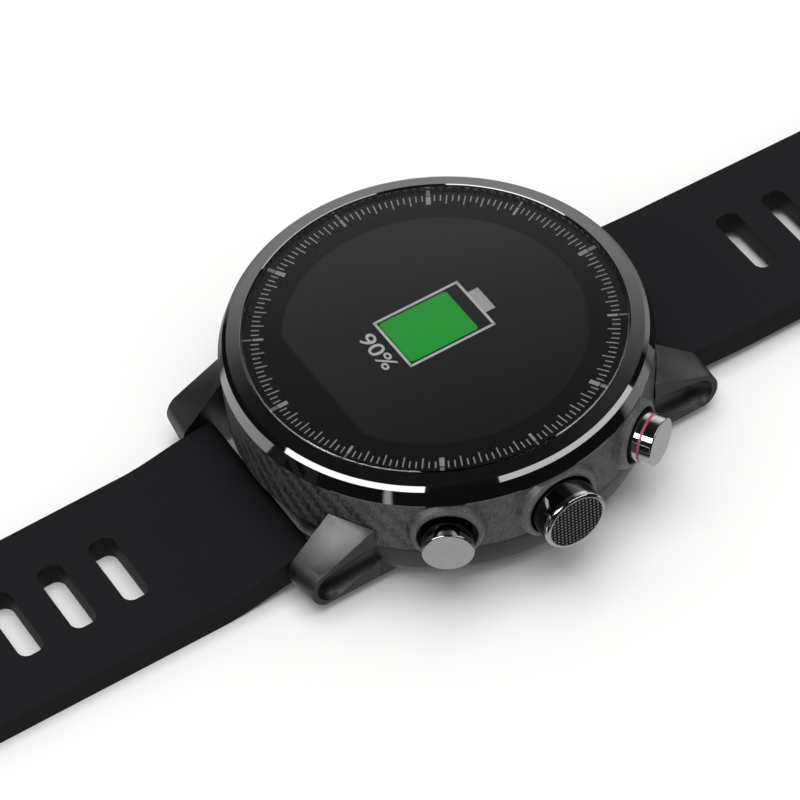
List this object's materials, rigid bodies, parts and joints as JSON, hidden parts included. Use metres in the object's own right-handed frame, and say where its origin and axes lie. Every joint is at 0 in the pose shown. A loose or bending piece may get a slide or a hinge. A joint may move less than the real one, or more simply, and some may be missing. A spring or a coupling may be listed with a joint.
{
  "type": "gps running watch",
  "caption": "Round GPS running watch with side pushers, carbon case, ceramic bezel and an open slotted silicone strap on quick-release spring bars with a tang buckle.",
  "frame": {"origin": "on the case axis, at the flat underside of the heart-rate sensor window that the watch stands on", "axes": "+Z out through the display, +Y towards 12 o'clock and the buckle half of the strap, +X towards 3 o'clock and the pushers"},
  "size_m": [0.0496, 0.26, 0.0156],
  "materials": {
    "bezel": "polished black ceramic",
    "glass": "clear mineral glass",
    "seal": "matte",
    "dial": "matte black with printed graduations",
    "display": "liquid-crystal panel",
    "sheet_steel": "bright sheet",
    "black_plastic": "moulded",
    "carbon": "carbon fibre composite, twill weave",
    "lug_steel": "satin grey coating",
    "back_plastic": "moulded, semi-gloss",
    "sensor_glass": "dark infrared-clear window",
    "led": "clear moulded",
    "circuit_board": "solder mask",
    "gold_contact": "gold plated",
    "screw_steel": "machined stainless steel",
    "battery_foil": "pouch foil",
    "chip": "moulded package",
    "antenna_ceramic": "unglazed",
    "flex": "polyimide film",
    "polished_steel": "polished",
    "red_enamel": "gloss enamel",
    "knurled_steel": "polished with a knurled face",
    "silicone": "matte silicone",
    "buckle_steel": "satin grey coating"
  },
  "bodies": {
    "case": {"bezel_ring": "bezel", "display_glass": "glass", "glass_gasket": "seal", "dial_ring": "dial", "display_panel": "display", "display_backplate": "sheet_steel", "display_carrier": "black_plastic", "mid_case": "carbon", "bezel_seal": "seal", "lug_chassis": "lug_steel", "case_back": "back_plastic", "back_seal": "seal", "sensor_window": "sensor_glass", "sensor_leds": "led", "sensor_board": "circuit_board", "charging_contacts": "gold_contact", "contact_board": "circuit_board", "back_screws": "screw_steel", "battery_cell": "battery_foil", "inner_frame": "black_plastic", "main_board": "circuit_board", "board_shields": "sheet_steel", "board_chips": "chip", "gps_antenna": "antenna_ceramic", "pressure_sensor": "sheet_steel", "vibration_motor": "sheet_steel", "side_switches": "chip", "display_flex": "flex", "sensor_flex": "flex", "pusher_tubes": "screw_steel", "pusher_seals": "seal", "upper_pusher_spring": "screw_steel", "middle_pusher_spring": "screw_steel", "lower_pusher_spring": "screw_steel"},
    "pusher_upper": {"upper_pusher_cap": "polished_steel", "upper_pusher_band": "red_enamel", "upper_pusher_clip": "screw_steel"},
    "pusher_middle": {"middle_pusher_cap": "knurled_steel", "middle_pusher_clip": "screw_steel"},
    "pusher_lower": {"lower_pusher_cap": "polished_steel", "lower_pusher_clip": "screw_steel"},
    "strap_buckle_half": {"strap_12": "silicone", "keeper_fixed": "silicone", "bar_tube_12": "screw_steel", "bar_tip_12": "screw_steel", "bar_spring_12": "screw_steel"},
    "strap_long_half": {"strap_6": "silicone", "bar_tube_6": "screw_steel", "bar_tip_6": "screw_steel", "bar_spring_6": "screw_steel"},
    "release_12": {"bar_release_12": "screw_steel"},
    "release_6": {"bar_release_6": "screw_steel"},
    "buckle": {"buckle_frame": "buckle_steel", "buckle_pin": "screw_steel"},
    "tongue": {"buckle_tongue": "buckle_steel"},
    "keeper": {"keeper_free": "silicone"}
  },
  "joints": [
    {"name": "upper_press", "type": "slide", "parent": "case", "child": "pusher_upper", "axis": [-0.866, -0.5, 0], "range_m": [0, 0.0005], "stiffness_N_per_m": 800, "springref_m": -0.001, "deforming": ["upper_pusher_spring"]},
    {"name": "middle_press", "type": "slide", "parent": "case", "child": "pusher_middle", "axis": [-1, 0, 0], "range_m": [0, 0.0005], "stiffness_N_per_m": 800, "springref_m": -0.001, "deforming": ["middle_pusher_spring"]},
    {"name": "lower_press", "type": "slide", "parent": "case", "child": "pusher_lower", "axis": [-0.866, 0.5, 0], "range_m": [0, 0.0005], "stiffness_N_per_m": 800, "springref_m": -0.001, "deforming": ["lower_pusher_spring"]},
    {"name": "strap_12_hinge", "type": "hinge", "parent": "case", "child": "strap_buckle_half", "pos_m": [0, 0.0233, 0.003], "axis": [-1, 0, 0], "range_deg": [-25, 85]},
    {"name": "strap_6_hinge", "type": "hinge", "parent": "case", "child": "strap_long_half", "pos_m": [0, -0.0233, 0.003], "axis": [1, 0, 0], "range_deg": [-25, 85]},
    {"name": "release_12_slide", "type": "slide", "parent": "strap_buckle_half", "child": "release_12", "axis": [1, 0, 0], "range_m": [0, 0.0011], "stiffness_N_per_m": 400, "springref_m": -0.001, "deforming": ["bar_spring_12"]},
    {"name": "release_6_slide", "type": "slide", "parent": "strap_long_half", "child": "release_6", "axis": [-1, 0, 0], "range_m": [0, 0.0011], "stiffness_N_per_m": 400, "springref_m": -0.001, "deforming": ["bar_spring_6"]},
    {"name": "buckle_hinge", "type": "hinge", "parent": "strap_buckle_half", "child": "buckle", "pos_m": [0, 0.104, 0.0019], "axis": [1, 0, 0], "range_deg": [-40, 30]},
    {"name": "tongue_hinge", "type": "hinge", "parent": "buckle", "child": "tongue", "pos_m": [0, 0.104, 0.0019], "axis": [1, 0, 0], "range_deg": [0, 70]},
    {"name": "keeper_slide", "type": "slide", "parent": "strap_buckle_half", "child": "keeper", "axis": [0, 1, 0], "range_m": [-0.007, 0.008]}
  ]
}
